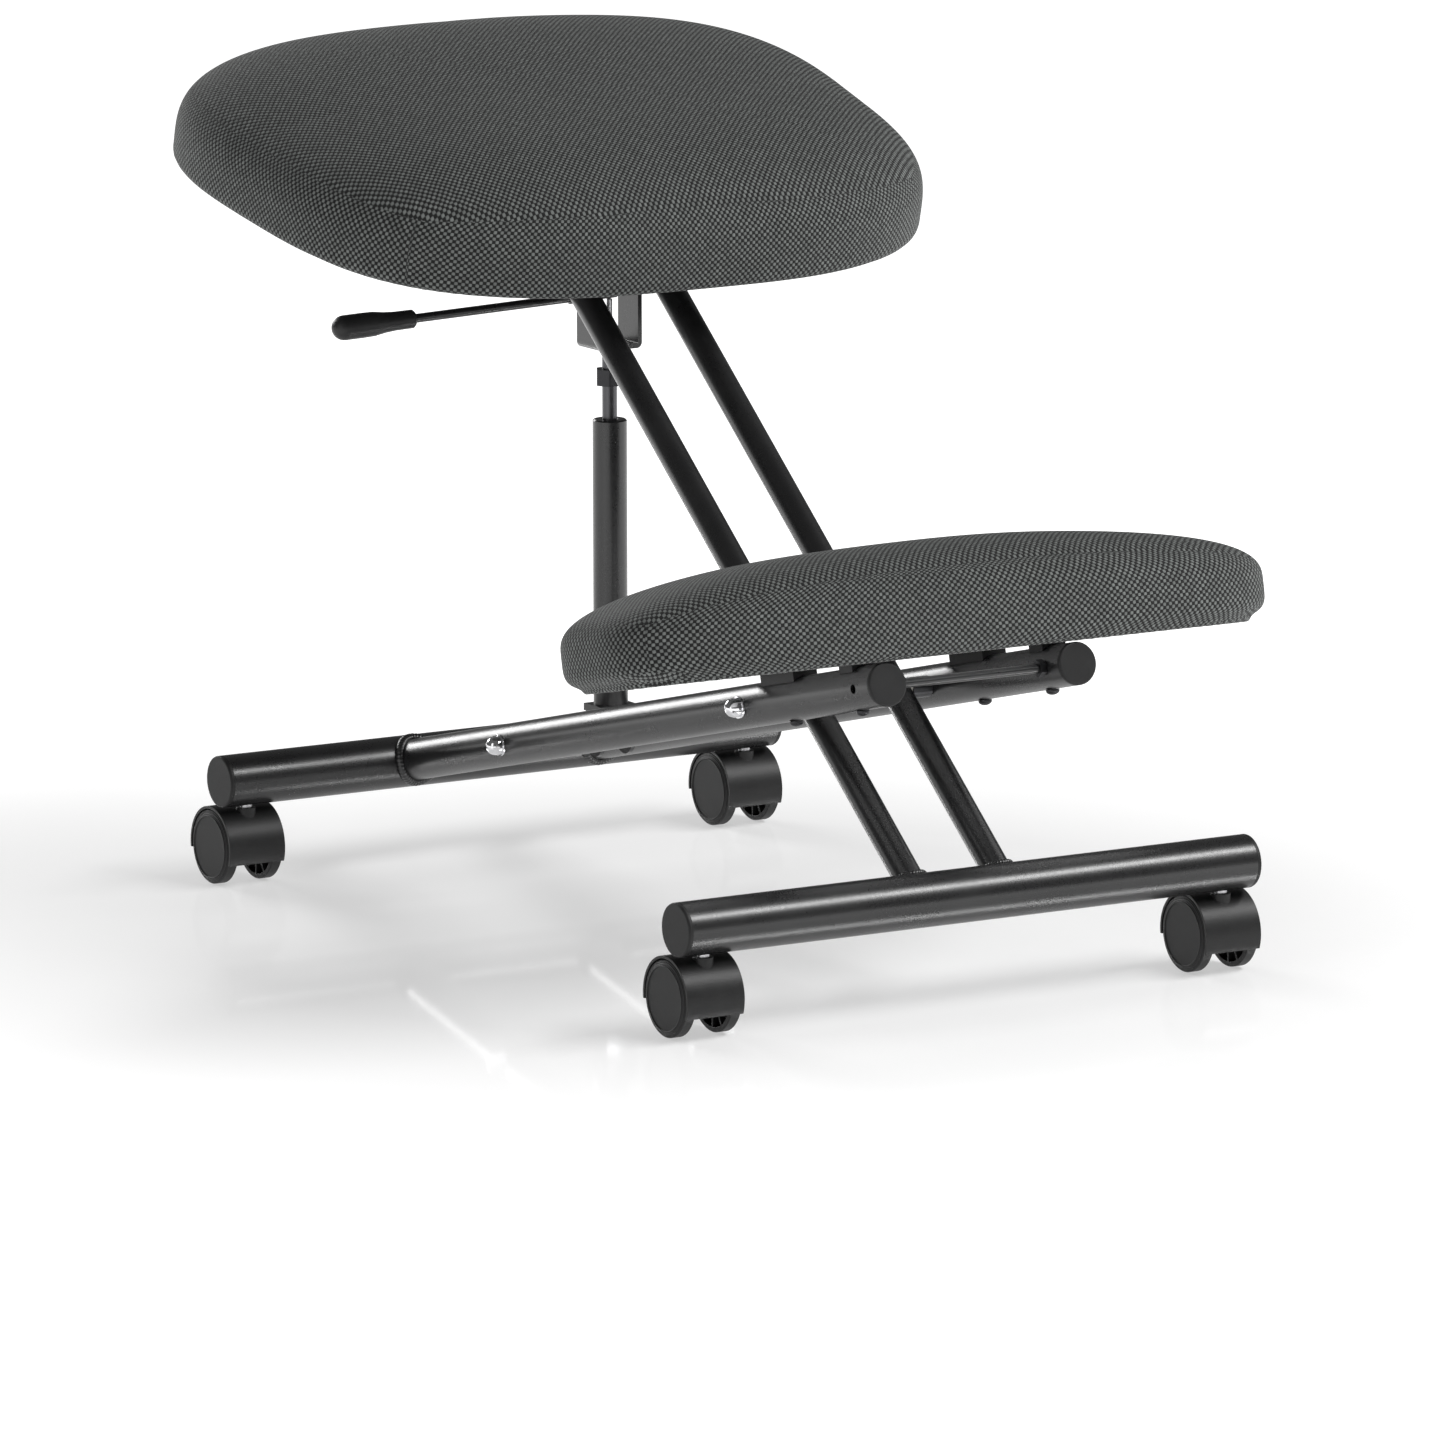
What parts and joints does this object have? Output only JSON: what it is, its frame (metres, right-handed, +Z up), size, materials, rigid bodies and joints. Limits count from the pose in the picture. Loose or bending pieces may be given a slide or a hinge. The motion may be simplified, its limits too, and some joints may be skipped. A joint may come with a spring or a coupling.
{
  "type": "kneeling chair",
  "caption": "Kneeling chair on casters: tilted seat and knee pad on crossed steel tubes, height set by a locking gas spring with a side lever.",
  "frame": {"origin": "on the floor, midway between the two crossbars and on the chair's centre plane", "axes": "+Z up, X along the crossbars, -Y the way the sitter faces (knee pad at -Y, seat at +Y), release lever on the -X side"},
  "size_m": [0.4874, 0.7123, 0.5624],
  "materials": {
    "black_steel": "satin black powder coat",
    "black_plug": "satin black moulding",
    "fabric": "charcoal basket-weave upholstery over foam",
    "plywood": "raw birch plywood",
    "pale_lining": "pale moulded cover sheet",
    "dark_lining": "black non-woven dust cover",
    "black_screw": "black oxide",
    "zinc_steel": "zinc plated",
    "bright_chrome": "polished",
    "rod_chrome": "hard chrome, ground",
    "bush_plastic": "natural nylon",
    "cylinder_paint": "black enamel",
    "grip_plastic": "moulded, matt",
    "caster_plastic": "matt black nylon",
    "wheel_plastic": "matt black nylon"
  },
  "bodies": {
    "base_frame": {"rear_crossbar": "black_steel", "rear_bar_plugs": "black_plug", "side_rail_left": "black_steel", "side_rail_right": "black_steel", "rail_end_plugs": "black_plug", "tie_rod": "black_steel", "tie_rod_nuts": "black_screw", "knee_spacers": "black_plug", "knee_board": "plywood", "knee_cushion": "fabric", "knee_underlining": "pale_lining", "knee_screws": "black_screw", "knee_tnuts": "zinc_steel", "pivot_axle": "zinc_steel", "pivot_spacers": "black_screw", "spring_axle": "zinc_steel", "spring_axle_spacers": "black_screw", "axle_cap_nuts": "bright_chrome", "rear_caster_stems": "zinc_steel"},
    "seat_frame": {"front_crossbar": "black_steel", "front_bar_plugs": "black_plug", "strut_left": "black_steel", "strut_right": "black_steel", "strut_bushes": "bush_plastic", "seat_bracket": "black_steel", "seat_board": "plywood", "seat_cushion": "fabric", "seat_underlining": "dark_lining", "seat_screws": "black_screw", "seat_tnuts": "zinc_steel", "upper_axle": "zinc_steel", "upper_axle_nuts": "zinc_steel", "front_caster_stems": "zinc_steel"},
    "gas_cylinder": {"cylinder_tube": "cylinder_paint", "cylinder_gland": "cylinder_paint", "lower_clevis": "black_steel"},
    "gas_piston": {"piston_rod": "rod_chrome", "rod_nut": "black_screw", "upper_strap": "black_steel", "lever_pin": "zinc_steel"},
    "release_button": {"release_pin": "zinc_steel"},
    "release_lever": {"lever_rod": "black_steel", "lever_grip": "grip_plastic"},
    "caster_front_left": {"hood_front_left": "caster_plastic", "caster_axle_front_left": "zinc_steel"},
    "wheel_front_left_outer_spin": {"wheel_front_left_outer": "wheel_plastic"},
    "wheel_front_left_inner_spin": {"wheel_front_left_inner": "wheel_plastic"},
    "caster_front_right": {"hood_front_right": "caster_plastic", "caster_axle_front_right": "zinc_steel"},
    "wheel_front_right_outer_spin": {"wheel_front_right_outer": "wheel_plastic"},
    "wheel_front_right_inner_spin": {"wheel_front_right_inner": "wheel_plastic"},
    "caster_rear_left": {"hood_rear_left": "caster_plastic", "caster_axle_rear_left": "zinc_steel"},
    "wheel_rear_left_outer_spin": {"wheel_rear_left_outer": "wheel_plastic"},
    "wheel_rear_left_inner_spin": {"wheel_rear_left_inner": "wheel_plastic"},
    "caster_rear_right": {"hood_rear_right": "caster_plastic", "caster_axle_rear_right": "zinc_steel"},
    "wheel_rear_right_outer_spin": {"wheel_rear_right_outer": "wheel_plastic"},
    "wheel_rear_right_inner_spin": {"wheel_rear_right_inner": "wheel_plastic"}
  },
  "joints": [
    {"name": "height_adjust", "type": "hinge", "parent": "base_frame", "child": "seat_frame", "pos_m": [0, -0.15904, 0.17987], "axis": [1, 0, 0], "range_deg": [-3, 14]},
    {"name": "spring_tilt", "type": "hinge", "parent": "base_frame", "child": "gas_cylinder", "pos_m": [0, 0.14564, 0.1069], "axis": [1, 0, 0], "range_deg": [-2.4, 10.5]},
    {"name": "rod_slide", "type": "slide", "parent": "gas_cylinder", "child": "gas_piston", "axis": [0, 0, 1], "range_m": [-0.0165, 0.0735]},
    {"name": "lever_lift", "type": "hinge", "parent": "gas_piston", "child": "release_lever", "pos_m": [-0.024, 0.14564, 0.40252], "axis": [0, 1, 0], "range_deg": [0, 5], "stiffness_Nm_per_rad": 1, "springref_deg": -2.86},
    {"name": "button_press", "type": "slide", "parent": "gas_piston", "child": "release_button", "axis": [0, 0, 1], "range_m": [-0.0025, 0]},
    {"name": "swivel_front_left", "type": "hinge", "parent": "seat_frame", "child": "caster_front_left", "pos_m": [-0.1955, -0.2955, 0.04], "axis": [0, 0, 1], "continuous": true},
    {"name": "roll_front_left_outer", "type": "hinge", "parent": "caster_front_left", "child": "wheel_front_left_outer_spin", "pos_m": [-0.1955, -0.2838, 0.025], "axis": [1, 0, 0], "continuous": true},
    {"name": "roll_front_left_inner", "type": "hinge", "parent": "caster_front_left", "child": "wheel_front_left_inner_spin", "pos_m": [-0.1955, -0.2838, 0.025], "axis": [1, 0, 0], "continuous": true},
    {"name": "swivel_front_right", "type": "hinge", "parent": "seat_frame", "child": "caster_front_right", "pos_m": [0.1955, -0.2955, 0.04], "axis": [0, 0, 1], "continuous": true},
    {"name": "roll_front_right_outer", "type": "hinge", "parent": "caster_front_right", "child": "wheel_front_right_outer_spin", "pos_m": [0.1955, -0.2838, 0.025], "axis": [1, 0, 0], "continuous": true},
    {"name": "roll_front_right_inner", "type": "hinge", "parent": "caster_front_right", "child": "wheel_front_right_inner_spin", "pos_m": [0.1955, -0.2838, 0.025], "axis": [1, 0, 0], "continuous": true},
    {"name": "swivel_rear_left", "type": "hinge", "parent": "base_frame", "child": "caster_rear_left", "pos_m": [-0.1955, 0.2955, 0.04], "axis": [0, 0, 1], "continuous": true},
    {"name": "roll_rear_left_outer", "type": "hinge", "parent": "caster_rear_left", "child": "wheel_rear_left_outer_spin", "pos_m": [-0.1955, 0.3072, 0.025], "axis": [1, 0, 0], "continuous": true},
    {"name": "roll_rear_left_inner", "type": "hinge", "parent": "caster_rear_left", "child": "wheel_rear_left_inner_spin", "pos_m": [-0.1955, 0.3072, 0.025], "axis": [1, 0, 0], "continuous": true},
    {"name": "swivel_rear_right", "type": "hinge", "parent": "base_frame", "child": "caster_rear_right", "pos_m": [0.1955, 0.2955, 0.04], "axis": [0, 0, 1], "continuous": true},
    {"name": "roll_rear_right_outer", "type": "hinge", "parent": "caster_rear_right", "child": "wheel_rear_right_outer_spin", "pos_m": [0.1955, 0.3072, 0.025], "axis": [1, 0, 0], "continuous": true},
    {"name": "roll_rear_right_inner", "type": "hinge", "parent": "caster_rear_right", "child": "wheel_rear_right_inner_spin", "pos_m": [0.1955, 0.3072, 0.025], "axis": [1, 0, 0], "continuous": true}
  ],
  "couplings": [
    {"joint": "spring_tilt", "follows": "height_adjust", "ratio": 0.72929},
    {"joint": "rod_slide", "follows": "height_adjust", "m_per_rad": 0.29851},
    {"joint": "button_press", "follows": "lever_lift", "m_per_rad": -0.024}
  ]
}
